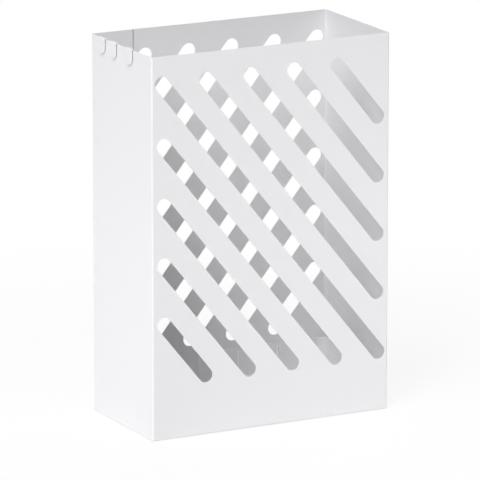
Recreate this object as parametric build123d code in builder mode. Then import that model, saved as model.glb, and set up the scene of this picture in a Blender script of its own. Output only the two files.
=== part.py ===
"""Rectangular umbrella stand: folded sheet-steel shell, welded base, drip tray, rim hooks and push-in feet.

Millimetres. The stand rests on Z = 0, the front faces -Y and the hooks hang on the left (-X) wall.
"""
from build123d import *
import math
import os

# Overall size
stand_width = 280.0
stand_depth = 140.0
stand_height = 410.0

# Folded sheet of the shell and the base
sheet = 0.8
bend_radius = 1.0
shell_clearance = 1.0
seam_place = 49.0
lap_width = 12.0
lap_gap = 0.25
joggle_bend_radius = 0.3
joggle_run = 0.7
joggle_gap = 0.1

# Diagonal slots, alike on the front and the back wall
slot_width = 16.0
slot_angle = 51.0
slot_pitch = 40.0
slots_each_side = 4
slot_top_margin = 29.0
slot_bottom_margin = 64.5
slot_side_margin = 13.8
corner_reach = 2.2
cut_margin = 1.0

# Hooks for short umbrellas: strips bent over the rim, a round-ended tab outside and a hook inside
hook_width = 14.5
hook_sheet = 0.8
hook_rim_gap = 1.0
hook_seat_gap = 0.2
hook_tab_drop = 16.3
hook_leg_drop = 34.0
hook_throat = 12.0
hook_tip_rise = 18.0
hook_end_flat = 0.5
hook_back_place = 43.4
hook_middle_place = 16.4
hook_front_place = -20.5

# Base: a plate with four turned-down flanges, welded inside the shell
weld_gap = 0.1
base_top = 9.0
base_flange = 7.0
base_relief = 7.0

# Push-in rubber feet
foot_inset = 24.0
foot_diameter = 18.0
foot_tread_diameter = 15.0
foot_edge = 1.2
foot_neck_diameter = 5.0
foot_hole_diameter = 5.4
foot_barb_diameter = 7.0
foot_barb_height = 2.6
foot_grip_gap = 0.1

# Moulded drip tray, lifted out through the open top
tray_side_gap = 0.8
tray_rim_height = 48.0
tray_wall = 1.2
tray_corner = 10.0
tray_draft = 1.5
tray_floor_round = 4.0
tray_rim_flat = 0.3
tray_rib_pitch = 48.0
tray_rib_shift = 8.3
tray_long_ribs = 4
tray_short_ribs = 2
tray_rib_radius = 0.9
tray_rib_drop = 1.5
tray_ring_height = 4.0
tray_ring_inset = 8.0
tray_ring_width = 1.6

# Sizes that follow from those above
outer_bend = bend_radius + sheet
middle_bend = bend_radius + sheet / 2
wall_x = stand_width / 2 - sheet / 2
wall_y = stand_depth / 2 - sheet / 2
seam_x = -stand_width / 2 + seam_place
lap_step = sheet + lap_gap
joggle_bend = joggle_bend_radius + sheet / 2
joggle_reach = joggle_bend * math.tan(math.atan2(lap_step, joggle_run) / 2)
joggle_end = seam_x - joggle_gap - joggle_reach
joggle_start = joggle_end - joggle_run
slot_cut_depth = lap_step + sheet + cut_margin
slot_row_top = stand_height - slot_top_margin
slot_middle = (slot_row_top + slot_bottom_margin) / 2
slot_half_height = (slot_row_top - slot_bottom_margin) / 2
slot_half_width = stand_width / 2 - slot_side_margin
base_width = stand_width - 2 * (sheet + weld_gap)
base_depth = stand_depth - 2 * (sheet + weld_gap)
base_underside = base_top - sheet
hook_bend_radius = sheet / 2 + hook_rim_gap
hook_bend_height = hook_seat_gap - math.sqrt(hook_bend_radius**2 - (sheet / 2) ** 2)
hook_middle_radius = hook_bend_radius + hook_sheet / 2
hook_throat_radius = (hook_throat + hook_sheet) / 2
hook_throat_height = -hook_leg_drop + hook_sheet + hook_throat / 2
hook_end_round = (hook_width - hook_end_flat) / 2
foot_x = stand_width / 2 - foot_inset
foot_y = stand_depth / 2 - foot_inset
tray_rim_width = stand_width - 2 * (sheet + tray_side_gap)
tray_rim_depth = stand_depth - 2 * (sheet + tray_side_gap)
tray_underside = base_top + tray_ring_height
tray_floor = tray_underside + tray_wall
tray_lean = math.tan(math.radians(tray_draft))
tray_base_width = tray_rim_width - 2 * tray_lean * (tray_rim_height - tray_underside)
tray_base_depth = tray_rim_depth - 2 * tray_lean * (tray_rim_height - tray_underside)
tray_bowl_width = tray_base_width - 2 * tray_wall * (1 - tray_lean)
tray_bowl_depth = tray_base_depth - 2 * tray_wall * (1 - tray_lean)
tray_rim_round = (tray_wall - tray_rim_flat) / 2
tray_rib_length = tray_rim_height - tray_rib_drop - tray_floor


def slot_ends(index):
    """End centres of one slot, upper left then lower right, from the middle of the pattern."""
    slope = math.tan(math.radians(slot_angle))
    crossing = index * slot_pitch / math.sin(math.radians(slot_angle))
    half_width = slot_half_width + (corner_reach if index == 0 else 0)
    left = max(-half_width, crossing - slot_half_height / slope)
    right = min(half_width, crossing + slot_half_height / slope)
    return (left, (crossing - left) * slope), (right, (crossing - right) * slope)


def sketch_slots():
    """Draw the nine diagonal slots in the sketch that is open."""
    for index in range(-slots_each_side, slots_each_side + 1):
        upper, lower = slot_ends(index)
        with Locations(((upper[0] + lower[0]) / 2, (upper[1] + lower[1]) / 2)):
            SlotCenterToCenter(math.dist(upper, lower), slot_width, rotation=-slot_angle)


os.makedirs("parts", exist_ok=True)

# Shell: one strip folded round four bends, its ends meeting in a joggled lap seam that is flush inside
with BuildPart() as body_shell:
    with BuildSketch(Plane.XY.offset(shell_clearance)):
        with BuildLine():
            wrap = FilletPolyline(
                (seam_x, wall_y),
                (wall_x, wall_y),
                (wall_x, -wall_y),
                (-wall_x, -wall_y),
                (-wall_x, wall_y),
                (joggle_start - 2 * joggle_reach, wall_y),
                radius=middle_bend,
            )
            FilletPolyline(
                wrap @ 1,
                (joggle_start, wall_y),
                (joggle_end, wall_y + lap_step),
                (seam_x + lap_width, wall_y + lap_step),
                radius=joggle_bend,
            )
        trace(line_width=sheet)
    extrude(amount=stand_height - shell_clearance)

    # Slots of the front wall, and the same pattern turned half round for the back wall
    for facing in (-1, 1):
        wall = Plane(
            origin=(0, facing * (stand_depth / 2 + lap_step), slot_middle),
            x_dir=(-facing, 0, 0),
            z_dir=(0, facing, 0),
        )
        with BuildSketch(wall):
            sketch_slots()
        extrude(amount=-slot_cut_depth, mode=Mode.SUBTRACT)
body_shell.part.label = "body_shell"
export_step(body_shell.part, "parts/body_shell.step")

# Base plate: flanges turned down on all four sides, square reliefs at the corners
with BuildPart() as base_plate:
    for plane, span, length in (
        (Plane.YZ, base_depth, base_width - 2 * base_relief),
        (Plane.XZ, base_width, base_depth - 2 * base_relief),
    ):
        with BuildSketch(plane):
            with BuildLine():
                FilletPolyline(
                    (-span / 2, base_top - base_flange),
                    (-span / 2, base_top),
                    (span / 2, base_top),
                    (span / 2, base_top - base_flange),
                    radius=outer_bend,
                )
                offset(amount=sheet, side=Side.RIGHT)
            make_face()
        extrude(amount=length / 2, both=True)
    with Locations(Plane.XY.offset(base_top)):
        with GridLocations(2 * foot_x, 2 * foot_y, 2, 2):
            Hole(foot_hole_diameter / 2)
base_plate.part.label = "base_plate"
export_step(base_plate.part, "parts/base_plate.step")

# Drip tray: drafted walls, rounded corners, slim ribs inside and a standing ring below
with BuildPart() as drip_tray:
    with BuildSketch(Plane.XY.offset(tray_underside)):
        RectangleRounded(tray_base_width, tray_base_depth, tray_corner)
    extrude(amount=tray_rim_height - tray_underside, taper=-tray_draft)
    fillet(drip_tray.faces().sort_by(Axis.Z)[0].edges(), radius=tray_floor_round)
    with BuildPart(mode=Mode.SUBTRACT) as bowl:
        with BuildSketch(Plane.XY.offset(tray_floor)):
            RectangleRounded(tray_bowl_width, tray_bowl_depth, tray_corner - tray_wall)
        extrude(amount=tray_rim_height - tray_floor, taper=-tray_draft)
        fillet(bowl.faces().sort_by(Axis.Z)[0].edges(), radius=tray_floor_round - tray_wall)
    fillet(drip_tray.faces().sort_by(Axis.Z)[-1].edges(), radius=tray_rim_round)
    with BuildSketch(Plane.XY.offset(base_top)):
        RectangleRounded(
            tray_base_width - 2 * tray_ring_inset,
            tray_base_depth - 2 * tray_ring_inset,
            tray_corner,
        )
        offset(amount=-tray_ring_width, mode=Mode.SUBTRACT)
    extrude(amount=tray_ring_height + tray_wall / 2)
    for wall_middle, along, count, aside in (
        (Vector(0, tray_bowl_depth / 2, 0), Vector(1, 0, 0), tray_long_ribs, tray_rib_shift),
        (Vector(tray_bowl_width / 2, 0, 0), Vector(0, 1, 0), tray_short_ribs, 0),
    ):
        for facing in (-1, 1):
            outward = wall_middle.normalized() * facing
            for rib in range(count):
                shift = (rib - (count - 1) / 2) * tray_rib_pitch + facing * aside
                start = wall_middle * facing + along * shift + Vector(0, 0, tray_floor)
                rib_foot = Plane(
                    start,
                    x_dir=outward - Vector(0, 0, tray_lean),
                    z_dir=outward * tray_lean + Vector(0, 0, 1),
                )
                with BuildSketch(rib_foot):
                    Circle(tray_rib_radius)
                extrude(amount=tray_rib_length)
drip_tray.part.label = "drip_tray"
export_step(drip_tray.part, "parts/drip_tray.step")

# Hooks: each hangs over the left rim on a round bend, free to slide along it
for place_name, place in (
    ("back", hook_back_place),
    ("middle", hook_middle_place),
    ("front", hook_front_place),
):
    with BuildPart() as hook:
        over_rim = Plane(origin=(-wall_x, place, stand_height), x_dir=(1, 0, 0), z_dir=(0, -1, 0))
        with BuildSketch(over_rim):
            with BuildLine():
                tab = Line((-hook_middle_radius, -hook_tab_drop), (-hook_middle_radius, hook_bend_height))
                bend = JernArc(tab @ 1, tab % 1, hook_middle_radius, -180)
                leg = Line(bend @ 1, (hook_middle_radius, hook_throat_height))
                throat = JernArc(leg @ 1, leg % 1, hook_throat_radius, 180)
                Line(throat @ 1, ((throat @ 1).X, -hook_leg_drop + hook_tip_rise))
            trace(line_width=hook_sheet)
        extrude(amount=hook_width / 2, both=True)
        fillet(hook.edges().filter_by(Axis.X), radius=hook_end_round)
    name = f"hook_{place_name}"
    hook.part.label = name
    export_step(hook.part, f"parts/{name}.step")

# Feet: a tapered tread below the plate, a neck through it and a barb above
for end_name, end in (("front", -1), ("back", 1)):
    for side_name, side in (("left", -1), ("right", 1)):
        centre = (side * foot_x, end * foot_y, 0)
        with BuildPart() as foot:
            with BuildSketch(Plane(origin=centre, x_dir=(1, 0, 0), z_dir=(0, -1, 0))) as profile:
                with BuildLine():
                    Polyline(
                        (0, 0),
                        (foot_tread_diameter / 2, 0),
                        (foot_diameter / 2, base_underside - foot_grip_gap),
                        (foot_neck_diameter / 2, base_underside - foot_grip_gap),
                        (foot_neck_diameter / 2, base_top + foot_grip_gap),
                        (foot_barb_diameter / 2, base_top + foot_grip_gap),
                        (foot_neck_diameter / 2, base_top + foot_grip_gap + foot_barb_height),
                        (0, base_top + foot_grip_gap + foot_barb_height),
                        close=True,
                    )
                make_face()
            revolve(axis=Axis(centre, (0, 0, 1)))
            fillet(foot.edges().group_by(Axis.Z)[0], radius=foot_edge)
        name = f"foot_{end_name}_{side_name}"
        foot.part.label = name
        export_step(foot.part, f"parts/{name}.step")
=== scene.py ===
"""Umbrella stand: a folded, powder-coated sheet shell on a welded base, with hooks, tray and feet.

Metres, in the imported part's frame: +Z is up, the slotted front faces -Y and the hooks hang on the
-X wall.
"""
from __future__ import annotations

import logging
import math
from dataclasses import dataclass
from enum import Enum

import bmesh
import bpy
import numpy as np
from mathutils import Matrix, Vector


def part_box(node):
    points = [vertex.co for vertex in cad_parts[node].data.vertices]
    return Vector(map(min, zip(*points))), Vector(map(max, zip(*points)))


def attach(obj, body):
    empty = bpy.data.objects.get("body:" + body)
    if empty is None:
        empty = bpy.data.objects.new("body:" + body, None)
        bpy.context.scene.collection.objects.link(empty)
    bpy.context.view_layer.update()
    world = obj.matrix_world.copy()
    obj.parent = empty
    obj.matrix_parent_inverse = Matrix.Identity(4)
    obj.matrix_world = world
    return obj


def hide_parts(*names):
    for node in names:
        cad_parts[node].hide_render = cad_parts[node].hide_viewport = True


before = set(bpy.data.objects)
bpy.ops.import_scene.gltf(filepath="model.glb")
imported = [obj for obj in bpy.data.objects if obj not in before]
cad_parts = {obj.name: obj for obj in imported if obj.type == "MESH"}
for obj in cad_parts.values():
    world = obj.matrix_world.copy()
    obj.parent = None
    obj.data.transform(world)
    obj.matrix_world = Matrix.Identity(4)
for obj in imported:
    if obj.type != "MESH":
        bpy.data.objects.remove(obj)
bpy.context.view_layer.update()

Colour = tuple[float, float, float]
Point = tuple[float, float, float]
Pair = tuple[float, float]
Source = float | bpy.types.NodeSocket
Sockets = dict[str, bpy.types.NodeSocket]

log = logging.getLogger("umbrella_stand")

MM = 0.001
FRAME_PIXELS = 480
SENSOR_MM = 36.0
CLIP_END = 100.0
WHITE = (1.0, 1.0, 1.0, 1.0)


class Grain(Enum):
    """How a surface's fine relief is laid down."""

    ORANGE_PEEL = "orange_peel"
    SPARK = "spark"


class Body(Enum):
    """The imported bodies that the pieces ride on."""

    STAND = "stand"
    TRAY = "tray"
    HOOK_FRONT = "hook_front"
    HOOK_MIDDLE = "hook_middle"
    HOOK_BACK = "hook_back"


class Wiring:
    """Short ways to add and join the nodes of one node tree."""

    NOISE_ROUGHNESS = 0.5
    SAME_HUE = 0.5

    def __init__(self, tree: bpy.types.NodeTree) -> None:
        """Start on a tree that holds no nodes."""
        self.tree = tree
        tree.nodes.clear()

    def add(self, kind: str, **settings: object) -> bpy.types.Node:
        """Add a node and set its properties.

        Args:
            kind: The node's type name.
            settings: Values for the node's own properties.

        Returns:
            The new node.
        """
        node = self.tree.nodes.new(kind)
        for key, value in settings.items():
            setattr(node, key, value)
        return node

    def fill(self, socket: bpy.types.NodeSocket, source: object) -> None:
        """Fill one input.

        Args:
            socket: The input.
            source: An output socket to link from, or a plain value.
        """
        if isinstance(source, bpy.types.NodeSocket):
            self.tree.links.new(source, socket)
        else:
            socket.default_value = source

    def feed(self, node: bpy.types.Node, **sources: object) -> None:
        """Fill a node's inputs by name.

        Args:
            node: The node whose inputs are filled.
            sources: A socket or a value for each input, spaces in its name written as underscores.
        """
        for key, source in sources.items():
            self.fill(node.inputs[key.replace("_", " ")], source)

    def math(self, operation: str, first: Source, second: Source) -> bpy.types.NodeSocket:
        """Work out one sum of two values or sockets.

        Args:
            operation: The Math node's operation.
            first: The first term.
            second: The second term.

        Returns:
            The result's socket.
        """
        node = self.add("ShaderNodeMath", operation=operation)
        self.fill(node.inputs[0], first)
        self.fill(node.inputs[1], second)
        return node.outputs["Value"]

    def noise(
        self, vector: bpy.types.NodeSocket, scale: Source, detail: float
    ) -> bpy.types.NodeSocket:
        """Lay a noise from 0 to 1 over the surface.

        Args:
            vector: Where on the surface.
            scale: Cells to a metre.
            detail: Octaves of finer noise on top.

        Returns:
            The noise's value socket.
        """
        node = self.add("ShaderNodeTexNoise")
        self.feed(node, Vector=vector, Scale=scale, Detail=detail, Roughness=self.NOISE_ROUGHNESS)
        return node.outputs["Fac"]

    def toned(self, colour: bpy.types.NodeSocket, share: Source) -> bpy.types.NodeSocket:
        """Make a colour lighter or darker and keep its hue.

        Args:
            colour: The colour.
            share: What its tone is multiplied by.

        Returns:
            The new colour's socket.
        """
        node = self.add("ShaderNodeHueSaturation")
        self.feed(node, Hue=self.SAME_HUE, Saturation=1.0, Value=share, Fac=1.0, Color=colour)
        return node.outputs["Color"]

    def off_axis(self, place: bpy.types.NodeSocket, axis: Pair) -> list[bpy.types.NodeSocket]:
        """Measure how far a place is from an upright axis.

        Args:
            place: Where on the surface.
            axis: X and Y of the axis.

        Returns:
            The distance along X and the distance along Y, neither below 0.
        """
        split = self.add("ShaderNodeSeparateXYZ")
        self.feed(split, Vector=place)
        past = [
            self.math("SUBTRACT", split.outputs[name], middle) for name, middle in zip("XY", axis)
        ]
        return [self.math("ABSOLUTE", distance, 0.0) for distance in past]

    def blend(
        self, share: Source, first: bpy.types.NodeSocket, second: bpy.types.NodeSocket
    ) -> bpy.types.NodeSocket:
        """Mix two shaders.

        Args:
            share: Share of the second shader.
            first: The first shader.
            second: The second shader.

        Returns:
            The mixed shader's socket.
        """
        node = self.add("ShaderNodeMixShader")
        for socket, source in zip(node.inputs, (share, first, second)):
            self.fill(socket, source)
        return node.outputs[0]


def shared_group(
    name: str, inputs: dict[str, str], outputs: dict[str, str]
) -> tuple[Wiring, Sockets, Sockets]:
    """Open a new shader node group with named sockets.

    Args:
        name: The group's name.
        inputs: Socket type of each input.
        outputs: Socket type of each output.

    Returns:
        The group's wiring, the sockets that bring values in and those that take them out.
    """
    tree = bpy.data.node_groups.new(name, "ShaderNodeTree")
    for direction, sockets in (("INPUT", inputs), ("OUTPUT", outputs)):
        for socket, kind in sockets.items():
            tree.interface.new_socket(socket, in_out=direction, socket_type=kind)
    wiring = Wiring(tree)
    entry = wiring.add("NodeGroupInput")
    leave = wiring.add("NodeGroupOutput")
    given = {socket: entry.outputs[socket] for socket in inputs}
    result = {socket: leave.inputs[socket] for socket in outputs}
    return wiring, given, result


class SharedEffects:
    """The node groups that more than one finish uses, each built once."""

    FLOAT = "NodeSocketFloat"
    COLOUR = "NodeSocketColor"
    VECTOR = "NodeSocketVector"

    NOISE_MIDDLE = 0.5
    PATCH_DETAIL = 2.0
    FLECKS_TO_A_PATCH = 23.0
    FLECK_DETAIL = 1.0
    FLECK_SHARE = 0.4

    SWELLS_TO_A_CELL = 0.45
    SWELL_DETAIL = 1.0
    PIT_DETAIL = 3.0
    PIT_POWER = 1.6
    SHINE_TO_A_CELL = 0.03
    SHINE_DETAIL = 3.0

    def __init__(self) -> None:
        """Build every group."""
        self.drift = self._build_drift()
        self.relief = {grain: self._build_relief(grain) for grain in Grain}

    def _build_drift(self) -> bpy.types.NodeTree:
        """Tone drift: the base colour, up and down a little over broad patches and finer flecks.

        Returns:
            The group.
        """
        wiring, given, result = shared_group(
            "tone_drift",
            {
                "Vector": self.VECTOR,
                "Colour": self.COLOUR,
                "Patches": self.FLOAT,
                "Amount": self.FLOAT,
            },
            {"Colour": self.COLOUR},
        )
        place, patches = given["Vector"], given["Patches"]
        broad = wiring.noise(place, patches, self.PATCH_DETAIL)
        flecks = wiring.math("MULTIPLY", patches, self.FLECKS_TO_A_PATCH)
        finer = wiring.noise(place, flecks, self.FLECK_DETAIL)
        both = wiring.math("ADD", wiring.math("MULTIPLY", finer, self.FLECK_SHARE), broad)
        middle = self.NOISE_MIDDLE * (1.0 + self.FLECK_SHARE)
        swing = wiring.math("MULTIPLY", wiring.math("SUBTRACT", both, middle), given["Amount"])
        tone = wiring.toned(given["Colour"], wiring.math("ADD", swing, 1.0))
        wiring.fill(result["Colour"], tone)
        return wiring.tree

    def _build_relief(self, grain: Grain) -> bpy.types.NodeTree:
        """Fine relief: a height for the bump, and a roughness that drifts over broader patches.

        Args:
            grain: How the relief is laid down.

        Returns:
            The group.
        """
        wiring, given, result = shared_group(
            f"fine_relief_{grain.value}",
            {
                "Vector": self.VECTOR,
                "Cells": self.FLOAT,
                "Roughness": self.FLOAT,
                "Swing": self.FLOAT,
            },
            {"Height": self.FLOAT, "Roughness": self.FLOAT},
        )
        place, cells = given["Vector"], given["Cells"]
        if grain is Grain.ORANGE_PEEL:
            humps = wiring.add("ShaderNodeTexVoronoi", feature="SMOOTH_F1")
            wiring.feed(humps, Vector=place, Scale=cells, Smoothness=1.0)
            swells = wiring.math("MULTIPLY", cells, self.SWELLS_TO_A_CELL)
            swell = wiring.noise(place, swells, self.SWELL_DETAIL)
            height = wiring.math("ADD", humps.outputs["Distance"], swell)
        else:
            pits = wiring.noise(place, cells, self.PIT_DETAIL)
            height = wiring.math("POWER", pits, self.PIT_POWER)
        patches = wiring.math("MULTIPLY", cells, self.SHINE_TO_A_CELL)
        shine = wiring.noise(place, patches, self.SHINE_DETAIL)
        off = wiring.math("SUBTRACT", shine, self.NOISE_MIDDLE)
        swing = wiring.math("MULTIPLY", off, given["Swing"])
        wiring.fill(result["Height"], height)
        wiring.fill(result["Roughness"], wiring.math("ADD", given["Roughness"], swing))
        return wiring.tree


@dataclass(frozen=True)
class Finish:
    """One procedural finish: a drifting colour with a fine relief.

    Attributes:
        name: The material's name.
        slot: The record's material slot; not used.
        colour: Linear base colour.
        drift: Share by which the tone drifts.
        patches: Broad patches of the drift to a metre.
        grain: How the fine relief is laid down.
        cells: Cells of the relief to a metre.
        depth: Height of the relief in metres.
        roughness: Middle roughness.
        swing: How far the roughness swings.
    """

    name: str
    slot: str
    colour: Colour
    drift: float
    patches: float
    grain: Grain
    cells: float
    depth: float
    roughness: float
    swing: float

    def dust_and_painted_shade(
        self, wiring: Wiring, place: bpy.types.NodeSocket, colour: bpy.types.NodeSocket
    ) -> bpy.types.NodeSocket:
        """Leave the colour clean; a finish that paints shade and dust into a groove overrides this.
        """
        return colour

    def material(self, effects: SharedEffects) -> bpy.types.Material:
        """Build the finish from the shared effects.

        Args:
            effects: The node groups to place in it.

        Returns:
            The new material.
        """
        made = bpy.data.materials.new(self.name)
        made.use_nodes = True
        wiring = Wiring(made.node_tree)
        place = wiring.add("ShaderNodeTexCoord").outputs["Object"]
        tone = wiring.add("ShaderNodeGroup", node_tree=effects.drift)
        wiring.feed(tone, Vector=place, Colour=(*self.colour, 1.0))
        wiring.feed(tone, Patches=self.patches, Amount=self.drift)
        relief = wiring.add("ShaderNodeGroup", node_tree=effects.relief[self.grain])
        wiring.feed(relief, Vector=place, Cells=self.cells)
        wiring.feed(relief, Roughness=self.roughness, Swing=self.swing)
        bump = wiring.add("ShaderNodeBump")
        wiring.feed(bump, Strength=1.0, Distance=self.depth, Height=relief.outputs["Height"])
        surface = wiring.add("ShaderNodeBsdfPrincipled")
        wiring.feed(
            surface,
            Base_Color=self.dust_and_painted_shade(wiring, place, tone.outputs["Colour"]),
            Roughness=relief.outputs["Roughness"],
            Normal=bump.outputs["Normal"],
        )
        output = wiring.add("ShaderNodeOutputMaterial")
        wiring.feed(output, Surface=surface.outputs["BSDF"])
        return made


@dataclass(frozen=True)
class SeamedFinish(Finish):
    """A finish on sheet with an open lap seam, whose groove the coat hardly reaches; painted shade
    and dust darken it.

    Attributes:
        seam: X and Y of the groove's middle.
        reach: Half of the groove's width and depth.
        groove_darkening: Share of the tone taken off in the groove, as painted shade and dust.
    """

    seam: Pair = (-91.6 * MM, 69.5 * MM)
    reach: Pair = (0.65 * MM, 0.42 * MM)
    groove_darkening: float = 0.45

    def dust_and_painted_shade(
        self, wiring: Wiring, place: bpy.types.NodeSocket, colour: bpy.types.NodeSocket
    ) -> bpy.types.NodeSocket:
        """Darken the colour inside an upright box round the groove: painted shade, with dust.

        Args:
            wiring: The material's tree.
            place: Where on the surface.
            colour: The clean colour.

        Returns:
            The colour with the groove darkened by painted shade and dust.
        """
        inside = [
            wiring.math("LESS_THAN", off, reach)
            for off, reach in zip(wiring.off_axis(place, self.seam), self.reach)
        ]
        # Painted shade: the tone in the lap seam's groove is darkened where its shadow falls, with
        # some dust.
        lost = wiring.math("MULTIPLY", wiring.math("MULTIPLY", *inside), self.groove_darkening)
        return wiring.toned(colour, wiring.math("SUBTRACT", 1.0, lost))


SHELL_COAT = SeamedFinish(
    name="white_powder_coat",
    slot="shell_coat",
    colour=(0.792, 0.790, 0.806),
    drift=0.012,
    patches=9.0,
    grain=Grain.ORANGE_PEEL,
    cells=620.0,
    depth=0.009 * MM,
    roughness=0.46,
    swing=0.08,
)
BASE_COAT = Finish(
    name="white_base_coat",
    slot="base_coat",
    colour=(0.772, 0.770, 0.786),
    drift=0.020,
    patches=14.0,
    grain=Grain.ORANGE_PEEL,
    cells=560.0,
    depth=0.011 * MM,
    roughness=0.52,
    swing=0.10,
)
HOOK_COAT = Finish(
    name="white_hook_coat",
    slot="hook_coat",
    colour=(0.792, 0.790, 0.806),
    drift=0.012,
    patches=22.0,
    grain=Grain.ORANGE_PEEL,
    cells=680.0,
    depth=0.008 * MM,
    roughness=0.44,
    swing=0.08,
)
TRAY_PLASTIC = Finish(
    name="white_moulded_plastic",
    slot="tray_plastic",
    colour=(0.785, 0.784, 0.796),
    drift=0.025,
    patches=12.0,
    grain=Grain.SPARK,
    cells=2400.0,
    depth=0.014 * MM,
    roughness=0.44,
    swing=0.12,
)
FOOT_RUBBER = Finish(
    name="black_moulded_rubber",
    slot="foot_rubber",
    colour=(0.040, 0.040, 0.041),
    drift=0.30,
    patches=60.0,
    grain=Grain.SPARK,
    cells=3200.0,
    depth=0.025 * MM,
    roughness=0.72,
    swing=0.14,
)


class Workshop:
    """Makes mesh objects, dresses them and hands them to the frame."""

    JOIN_DISTANCE = 0.002 * MM
    FLAT_ANGLE = math.radians(0.1)
    EDGE_ANGLE = math.radians(35.0)
    EDGE_SEGMENTS = 2

    def __init__(self) -> None:
        """Build the shared effects and start with no materials."""
        self.effects = SharedEffects()
        self.made: dict[str, bpy.types.Material] = {}

    def piece(self, name: str, vertices: np.ndarray, faces: list) -> bpy.types.Object:
        """Put vertices and faces into a new smooth-shaded mesh object at the origin.

        Args:
            name: The piece's name.
            vertices: One row of three coordinates to a vertex, in metres.
            faces: Rows of vertex numbers.

        Returns:
            The new object, linked to the scene.
        """
        mesh = bpy.data.meshes.new(name)
        mesh.from_pydata(vertices, [], faces)
        mesh.polygons.foreach_set("use_smooth", np.ones(len(mesh.polygons), dtype=bool))
        mesh.update()
        made = bpy.data.objects.new(name, mesh)
        bpy.context.scene.collection.objects.link(made)
        return made

    def joined_copy(self, node: str, name: str) -> bpy.types.Object:
        """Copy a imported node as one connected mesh, with facets in one plane run together.

        Args:
            node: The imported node.
            name: The copy's name.

        Returns:
            The copy.
        """
        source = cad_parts[node].data
        points = np.empty(3 * len(source.vertices), dtype=np.float32)
        source.vertices.foreach_get("co", points)
        corners = np.empty(len(source.loops), dtype=np.int32)
        source.loops.foreach_get("vertex_index", corners)
        copy = self.piece(name, points.reshape(-1, 3), corners.reshape(-1, 3).tolist())
        work = bmesh.new()
        work.from_mesh(copy.data)
        bmesh.ops.remove_doubles(work, verts=work.verts, dist=self.JOIN_DISTANCE)
        bmesh.ops.dissolve_limit(
            work, angle_limit=self.FLAT_ANGLE, verts=work.verts, edges=work.edges
        )
        work.to_mesh(copy.data)
        work.free()
        return copy

    def soften(self, piece: bpy.types.Object, width: float) -> None:
        """Round a piece's sharp edges a little and keep its flat faces shaded flat.

        Args:
            piece: The piece.
            width: How far each rounding reaches from its edge, or 0 for none.
        """
        if width:
            rounding = piece.modifiers.new("edge_rounding", "BEVEL")
            rounding.limit_method = "ANGLE"
            rounding.angle_limit = self.EDGE_ANGLE
            rounding.width = width
            rounding.segments = self.EDGE_SEGMENTS
        flats = piece.modifiers.new("flat_faces", "WEIGHTED_NORMAL")
        flats.mode = "FACE_AREA"
        flats.keep_sharp = False

    def dress(self, piece: bpy.types.Object, finish: Finish, node: str, body: Body) -> None:
        """Give a piece its finish, and let it stand for its node on its body.

        Args:
            piece: The piece.
            finish: Its finish.
            node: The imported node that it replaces.
            body: The body that it rides on.
        """
        if finish.name not in self.made:
            self.made[finish.name] = finish.material(self.effects)
        piece.data.materials.append(self.made[finish.name])
        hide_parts(node)
        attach(piece, body.value)
        log.info("%s: %d faces, %s", piece.name, len(piece.data.polygons), finish.name)


@dataclass
class SheetBody:
    """The folded shell and the base that is welded into it.

    Attributes:
        edge: Rounding of the sheet's cut edges under the coat.
    """

    edge: float = 0.2 * MM

    def build(self, shop: Workshop) -> None:
        """Make both sheet parts and dress them.

        Args:
            shop: Where they are made.
        """
        for node, finish in (("body_shell", SHELL_COAT), ("base_plate", BASE_COAT)):
            part = shop.joined_copy(node, f"{node}_coated")
            shop.soften(part, self.edge)
            shop.dress(part, finish, node, Body.STAND)


@dataclass
class RimHooks:
    """The three strips that hang over the left rim.

    Attributes:
        edge: Rounding of the strips' cut edges under the coat.
    """

    edge: float = 0.2 * MM

    def build(self, shop: Workshop) -> None:
        """Make the hooks, whose nodes are named as their bodies, and dress them.

        Args:
            shop: Where they are made.
        """
        for body in (Body.HOOK_FRONT, Body.HOOK_MIDDLE, Body.HOOK_BACK):
            strip = shop.joined_copy(body.value, f"{body.value}_coated")
            shop.soften(strip, self.edge)
            shop.dress(strip, HOOK_COAT, body.value, body)


@dataclass
class DripTray:
    """The loose moulded tray on the base.

    Attributes:
        node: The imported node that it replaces.
    """

    node: str = "drip_tray"

    def build(self, shop: Workshop) -> None:
        """Make the tray, whose edges are rounded already, and dress it.

        Args:
            shop: Where it is made.
        """
        tray = shop.joined_copy(self.node, f"{self.node}_moulded")
        shop.soften(tray, 0.0)
        shop.dress(tray, TRAY_PLASTIC, self.node, Body.TRAY)


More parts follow.
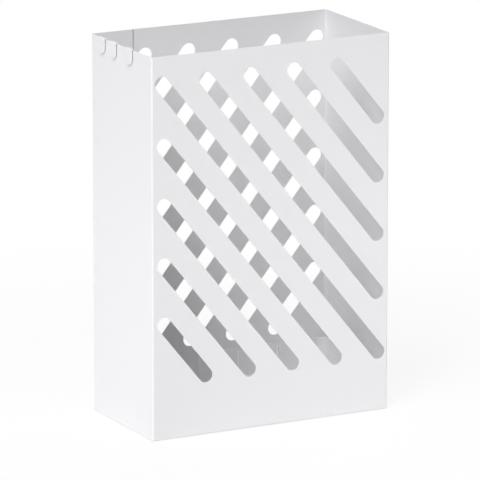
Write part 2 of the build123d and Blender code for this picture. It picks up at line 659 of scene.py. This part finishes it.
@dataclass
class RubberFeet:
    """Four push-in feet, turned about their own axes, with ring grooves in the tread.

    Attributes:
        tread: Radius of the tread on the floor.
        flare: Radius below the plate.
        shoulder: Height of the shoulder below the plate.
        neck: Radius of the neck through the plate.
        barb: Radius of the barb above the plate.
        barb_foot: Height of the barb's underside.
        top: Height of the barb's tip.
        edge: Rounding of the tread's edge.
        shoulder_round: Steps in from the flare and down from the shoulder that round its edge.
        barb_round: Step in and step up that break the barb's lower edge.
        tip_round: Step down and out, then step in, that break the tip's edge.
        groove_radii: Middles of the tread's ring grooves.
        groove_width: Width of a groove.
        groove_depth: Depth of a groove.
        tread_points: Points across the tread in the half section.
        edge_points: Points on the tread's rounded edge, the one on the tread among them.
        steps: Columns round the axis.
    """

    tread: float = 7.5 * MM
    flare: float = 9.0 * MM
    shoulder: float = 8.1 * MM
    neck: float = 2.5 * MM
    barb: float = 3.5 * MM
    barb_foot: float = 9.1 * MM
    top: float = 11.7 * MM
    edge: float = 1.2 * MM
    shoulder_round: tuple[Pair, ...] = (
        (0.25 * MM, 0.4 * MM),
        (0.05 * MM, 0.15 * MM),
        (0.3 * MM, 0.0),
    )
    barb_round: Pair = (0.1 * MM, 0.2 * MM)
    tip_round: Pair = (0.2 * MM, 0.1 * MM)
    groove_radii: tuple[float, ...] = (2.2 * MM, 4.4 * MM)
    groove_width: float = 0.9 * MM
    groove_depth: float = 0.5 * MM
    tread_points: int = 48
    edge_points: int = 7
    steps: int = 72

    def profile(self) -> np.ndarray:
        """Trace the foot's half section from the middle of the tread to the middle of the barb.

        Each groove dips by a raised cosine, the tread's edge is a quarter turn, and the shoulder,
        neck and barb are straight runs between corners.

        Returns:
            Rows of radius and height in metres.
        """
        flat = self.tread - self.edge
        across = np.linspace(0.0, flat, self.tread_points)
        dip = np.zeros_like(across)
        for radius in self.groove_radii:
            share = np.clip((across - radius) / self.groove_width, -0.5, 0.5)
            dip += self.groove_depth * np.cos(math.pi * share) ** 2
        turn = np.linspace(0.0, math.pi / 2, self.edge_points)[1:]
        edge = np.column_stack(
            (flat + self.edge * np.sin(turn), self.edge - self.edge * np.cos(turn))
        )
        shoulder = [
            (self.flare - inset, self.shoulder - drop) for inset, drop in self.shoulder_round
        ]
        upper = np.array(
            [
                *shoulder,
                (self.neck, self.shoulder),
                (self.neck, self.barb_foot),
                (self.barb - self.barb_round[0], self.barb_foot),
                (self.barb, self.barb_foot + self.barb_round[1]),
                (self.neck + self.tip_round[0], self.top - self.tip_round[0]),
                (self.neck - self.tip_round[1], self.top),
                (0.0, self.top),
            ]
        )
        return np.vstack((np.column_stack((across, dip)), edge, upper))

    def turned(self, centre: Vector) -> tuple[np.ndarray, list]:
        """Carry the half section round an upright axis: x = r cos a, y = r sin a, z = h.

        Args:
            centre: Where the axis meets the floor.

        Returns:
            Vertices and faces, with one vertex at each pole.
        """
        section = self.profile()
        angle = np.linspace(0.0, 2 * math.pi, self.steps, endpoint=False)
        radius, height = section[1:-1, 0:1], section[1:-1, 1:2]
        rows = np.stack(
            (
                centre.x + radius * np.cos(angle),
                centre.y + radius * np.sin(angle),
                np.broadcast_to(height, (len(height), self.steps)),
            ),
            axis=-1,
        )
        count = rows.shape[0] * self.steps
        poles = np.array([(centre.x, centre.y, end) for end in section[[0, -1], 1]])
        index = np.arange(count).reshape(-1, self.steps)
        after = np.roll(index, -1, axis=1)
        quads = np.stack((index[:-1], after[:-1], after[1:], index[1:]), axis=-1).reshape(-1, 4)
        below = np.column_stack((after[0], index[0], np.full(self.steps, count)))
        above = np.column_stack((index[-1], after[-1], np.full(self.steps, count + 1)))
        faces = quads.tolist() + below.tolist() + above.tolist()
        return np.vstack((rows.reshape(-1, 3), poles)), faces

    def build(self, shop: Workshop) -> None:
        """Turn the four feet where their nodes are and dress them.

        Args:
            shop: Where they are made.
        """
        for node in sorted(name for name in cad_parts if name.startswith("foot_")):
            low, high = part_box(node)
            middle = (low + high) / 2
            place = Vector((middle.x, middle.y, low.z))
            foot = shop.piece(f"{node}_moulded", *self.turned(place))
            shop.soften(foot, 0.0)
            shop.dress(foot, FOOT_RUBBER, node, Body.STAND)


@dataclass(frozen=True)
class SoftLamp:
    """One soft area lamp.

    Attributes:
        name: The lamp's name.
        place: Where it hangs.
        aim: The point that it faces.
        width: Its width.
        height: Its height.
        power: Its power in watts.
    """

    name: str
    place: Point
    aim: Point
    width: float
    height: float
    power: float

    def hang(self) -> None:
        """Add the lamp to the scene, out of the camera's sight."""
        data = bpy.data.lights.new(self.name, "AREA")
        data.shape = "RECTANGLE"
        data.size = self.width
        data.size_y = self.height
        data.energy = self.power
        lamp = bpy.data.objects.new(self.name, data)
        lamp.location = self.place
        towards = Vector(self.aim) - Vector(self.place)
        lamp.rotation_euler = towards.to_track_quat("-Z", "Y").to_euler()
        lamp.visible_camera = False
        bpy.context.scene.collection.objects.link(lamp)


@dataclass
class Studio:
    """White floor and surroundings, soft lamps and the camera.

    Attributes:
        azimuth: The camera's turn round the stand, in degrees.
        elevation: Its height above the horizon, in degrees.
        distance: From the target.
        focal_pixels: Its focal length in pixels of the picture.
        target: The point in the picture's middle.
        surround: Level of the light from all round.
        floor_colour: The floor's reflection.
        floor_shade: Share of light and shade in what the eye sees of the floor by the stand.
        floor_reach: Distances from the stand between which that share fades to nothing.
        footprint: Half of the stand's width and depth.
        contact_shade: The same share below the stand.
        contact_edge: Width of the step between the two shares at the footprint's edge.
        floor_size: Side of the floor.
        lamps: The soft lamps: large ones high up, small ones near the floor.
    """

    azimuth: float = -27.58
    elevation: float = 13.83
    distance: float = 5.757
    focal_pixels: float = 5432.0
    target: Point = (-0.0008, 0.0, 0.1862)
    surround: float = 0.08
    floor_colour: Colour = (0.90, 0.90, 0.90)
    floor_shade: float = 0.10
    floor_reach: Pair = (0.30, 0.90)
    footprint: Pair = (140.0 * MM, 70.0 * MM)
    contact_shade: float = 0.35
    contact_edge: float = 1.0 * MM
    floor_size: float = 12.0
    lamps: tuple[SoftLamp, ...] = (
        SoftLamp(
            name="key_lamp",
            place=(-2.89, -2.84, 3.14),
            aim=(0.0, 0.0, 0.2),
            width=1.6,
            height=2.6,
            power=150.0,
        ),
        SoftLamp(
            name="top_lamp",
            place=(-1.80, -0.95, 4.77),
            aim=(0.0, 0.0, 0.2),
            width=1.6,
            height=1.8,
            power=102.0,
        ),
        SoftLamp(
            name="back_lamp",
            place=(2.44, 1.41, 1.23),
            aim=(0.0, 0.0, 0.2),
            width=1.5,
            height=1.5,
            power=28.0,
        ),
        SoftLamp(
            name="low_left_lamp",
            place=(-0.60, -0.02, 0.08),
            aim=(0.0, 0.0, 0.05),
            width=0.6,
            height=0.1,
            power=0.5,
        ),
        SoftLamp(
            name="low_front_lamp",
            place=(0.21, -0.56, 0.12),
            aim=(0.0, 0.0, 0.08),
            width=0.6,
            height=0.1,
            power=0.3,
        ),
        SoftLamp(
            name="low_right_lamp",
            place=(0.82, -0.48, 0.10),
            aim=(0.0, 0.0, 0.05),
            width=0.8,
            height=0.18,
            power=0.9,
        ),
    )

    def seen_by_eye(self, wiring: Wiring) -> bpy.types.NodeSocket:
        """Tell rays that show the surroundings to the eye from rays that only carry light.

        Args:
            wiring: The tree to work in.

        Returns:
            A socket that is 1 for camera, glossy and transmission rays.
        """
        path = wiring.add("ShaderNodeLightPath").outputs
        shown = wiring.math("MAXIMUM", path["Is Camera Ray"], path["Is Glossy Ray"])
        return wiring.math("MAXIMUM", shown, path["Is Transmission Ray"])

    def shaded_share(self, wiring: Wiring) -> bpy.types.NodeSocket:
        """Work out how much of the floor takes light and shade, as the eye sees it.

        The share is largest below the stand, small round it and nothing far off.

        Args:
            wiring: The floor's tree.

        Returns:
            The share's socket.
        """
        place = wiring.add("ShaderNodeTexCoord").outputs["Object"]
        away = wiring.add("ShaderNodeVectorMath", operation="LENGTH")
        wiring.feed(away, Vector=place)
        fade = wiring.add("ShaderNodeMapRange", interpolation_type="SMOOTHSTEP")
        wiring.feed(fade, Value=away.outputs["Value"], To_Min=self.floor_shade, To_Max=0.0)
        wiring.feed(fade, From_Min=self.floor_reach[0], From_Max=self.floor_reach[1])
        past = [
            wiring.math("SUBTRACT", off, half)
            for off, half in zip(wiring.off_axis(place, (0.0, 0.0)), self.footprint)
        ]
        step = wiring.add("ShaderNodeMapRange")
        wiring.feed(step, Value=wiring.math("MAXIMUM", *past))
        wiring.feed(step, From_Min=-self.contact_edge, From_Max=0.0)
        wiring.feed(step, To_Min=self.contact_shade, To_Max=0.0)
        return wiring.math("MAXIMUM", fade.outputs["Result"], step.outputs["Result"])

    def lay_floor(self) -> None:
        """Lay a pale floor that keeps a faint shadow, open from below."""
        half = self.floor_size / 2
        corners = [(-half, -half, 0.0), (half, -half, 0.0), (half, half, 0.0), (-half, half, 0.0)]
        mesh = bpy.data.meshes.new("floor")
        mesh.from_pydata(corners, [], [(0, 1, 2, 3)])
        floor = bpy.data.objects.new("floor", mesh)
        bpy.context.scene.collection.objects.link(floor)
        made = bpy.data.materials.new("pale_floor")
        made.use_nodes = True
        wiring = Wiring(made.node_tree)
        matt = wiring.add("ShaderNodeBsdfDiffuse")
        wiring.feed(matt, Color=(*self.floor_colour, 1.0))
        white = wiring.add("ShaderNodeEmission")
        wiring.feed(white, Color=WHITE, Strength=1.0)
        clear = wiring.add("ShaderNodeBsdfTransparent")
        shown = wiring.blend(self.shaded_share(wiring), white.outputs[0], matt.outputs[0])
        upper = wiring.blend(self.seen_by_eye(wiring), matt.outputs[0], shown)
        below = wiring.add("ShaderNodeNewGeometry").outputs["Backfacing"]
        output = wiring.add("ShaderNodeOutputMaterial")
        wiring.feed(output, Surface=wiring.blend(below, upper, clear.outputs[0]))
        mesh.materials.append(made)

    def surround_with_white(self) -> None:
        """Make the surroundings white to the eye and an even soft light to the stand."""
        world = bpy.data.worlds.new("white_surround")
        world.use_nodes = True
        wiring = Wiring(world.node_tree)
        light = wiring.add("ShaderNodeBackground")
        wiring.feed(light, Color=WHITE, Strength=self.surround)
        white = wiring.add("ShaderNodeBackground")
        wiring.feed(white, Color=WHITE, Strength=1.0)
        both = wiring.blend(self.seen_by_eye(wiring), light.outputs[0], white.outputs[0])
        output = wiring.add("ShaderNodeOutputWorld")
        wiring.feed(output, Surface=both)
        bpy.context.scene.world = world

    def set_camera(self) -> None:
        """Place the camera on its line of sight, looking at the target."""
        turn, rise = math.radians(self.azimuth), math.radians(self.elevation)
        level = math.cos(rise)
        back = Vector((math.sin(turn) * level, -math.cos(turn) * level, math.sin(rise)))
        data = bpy.data.cameras.new("camera")
        data.sensor_width = SENSOR_MM
        data.lens = self.focal_pixels / FRAME_PIXELS * SENSOR_MM
        data.clip_end = CLIP_END
        camera = bpy.data.objects.new("camera", data)
        camera.location = Vector(self.target) + back * self.distance
        camera.rotation_euler = (-back).to_track_quat("-Z", "Y").to_euler()
        bpy.context.scene.collection.objects.link(camera)
        bpy.context.scene.camera = camera

    def build(self) -> None:
        """Set up the floor, the light and the camera."""
        self.lay_floor()
        self.surround_with_white()
        for lamp in self.lamps:
            lamp.hang()
        self.set_camera()
        bpy.context.scene.view_settings.view_transform = "Standard"


def main() -> None:
    logging.basicConfig(level=logging.INFO, format="%(name)s: %(message)s")
    shop = Workshop()
    for part in (SheetBody(), RimHooks(), DripTray(), RubberFeet()):
        part.build(shop)
    Studio().build()


if __name__ == "__main__":
    main()
